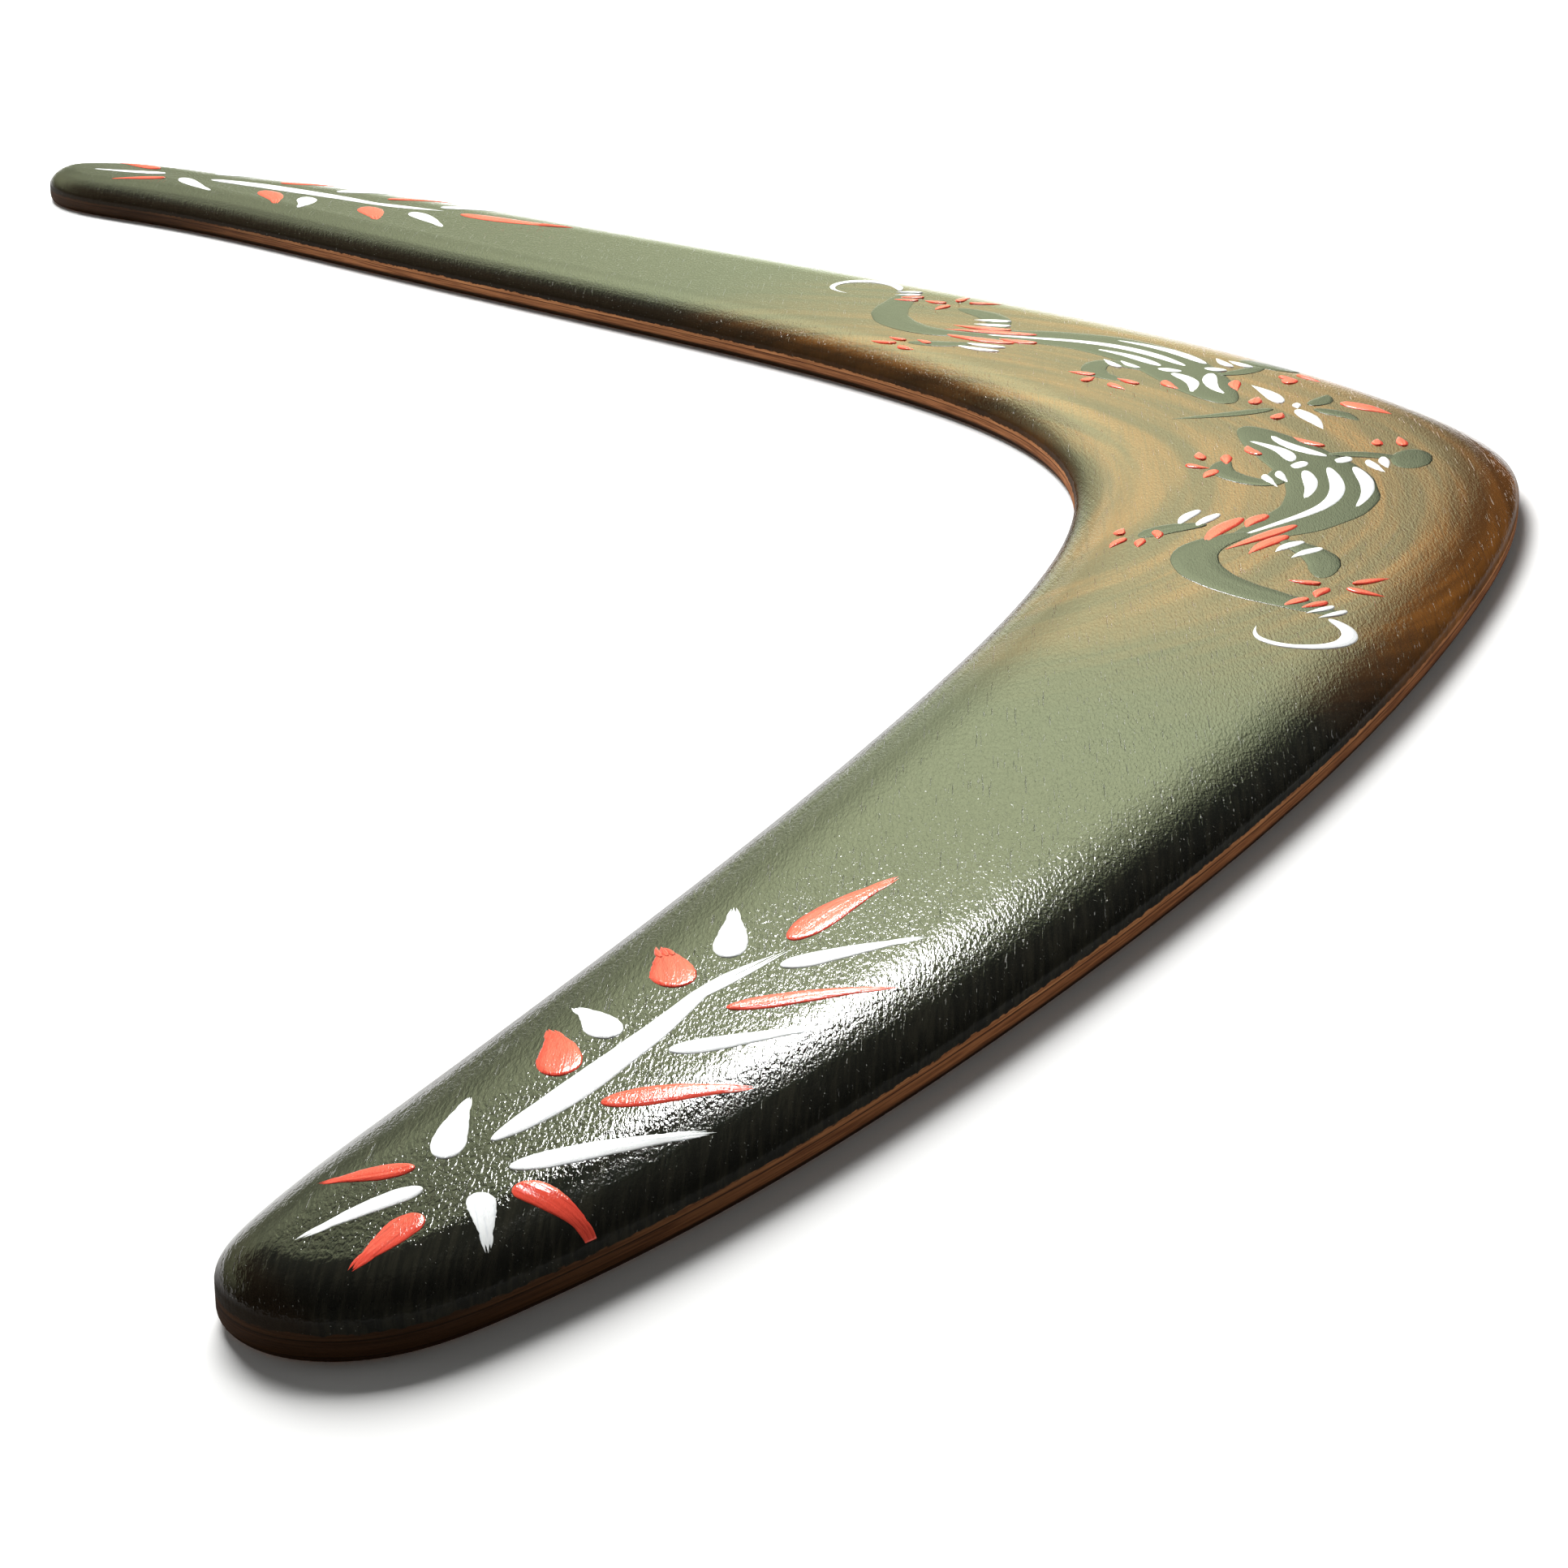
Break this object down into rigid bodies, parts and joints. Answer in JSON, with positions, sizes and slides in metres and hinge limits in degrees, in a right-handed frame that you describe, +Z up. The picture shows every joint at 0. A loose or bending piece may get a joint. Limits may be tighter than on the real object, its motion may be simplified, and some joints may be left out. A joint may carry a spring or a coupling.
{
  "type": "boomerang",
  "caption": "Flat V-shaped plywood boomerang with carved rounded edges, dark stained top and raised red and white brush-stroke decoration.",
  "frame": {"origin": "middle of the bounding box on the flat underside, where the boomerang rests", "axes": "+Z up out of the painted face, +Y towards the elbow, +X along the line between the two tips towards the shorter arm"},
  "size_m": [0.49, 0.1956, 0.0064],
  "materials": {
    "veneer": "bare plywood edge, fine sawn grain, dull",
    "stained_veneer": "black stain on the arms fading to warm brown at the elbow, gloss lacquer with open pores",
    "glue": "dark dried adhesive, dull",
    "white_paint": "thick glossy acrylic brush strokes",
    "red_paint": "thick glossy acrylic brush strokes",
    "black_paint": "thin glossy black acrylic"
  },
  "bodies": {
    "root": {"back_face_ply": "veneer", "back_glue_line": "glue", "center_motif_black": "black_paint", "center_motif_red": "red_paint", "center_motif_white": "white_paint", "core_ply": "veneer", "left_arm_leaves_red": "red_paint", "left_arm_leaves_white": "white_paint", "left_arm_stem_white": "white_paint", "left_figure_black": "black_paint", "left_figure_red": "red_paint", "left_figure_white": "white_paint", "left_tip_dabs_red": "red_paint", "left_tip_dabs_white": "white_paint", "lower_core_glue_line": "glue", "lower_crossband_ply": "veneer", "right_arm_leaves_red": "red_paint", "right_arm_leaves_white": "white_paint", "right_arm_stem_white": "white_paint", "right_figure_black": "black_paint", "right_figure_red": "red_paint", "right_figure_white": "white_paint", "right_tip_dabs_red": "red_paint", "right_tip_dabs_white": "white_paint", "top_face_ply": "stained_veneer", "top_glue_line": "glue", "upper_core_glue_line": "glue", "upper_crossband_ply": "veneer"}
  },
  "joints": []
}
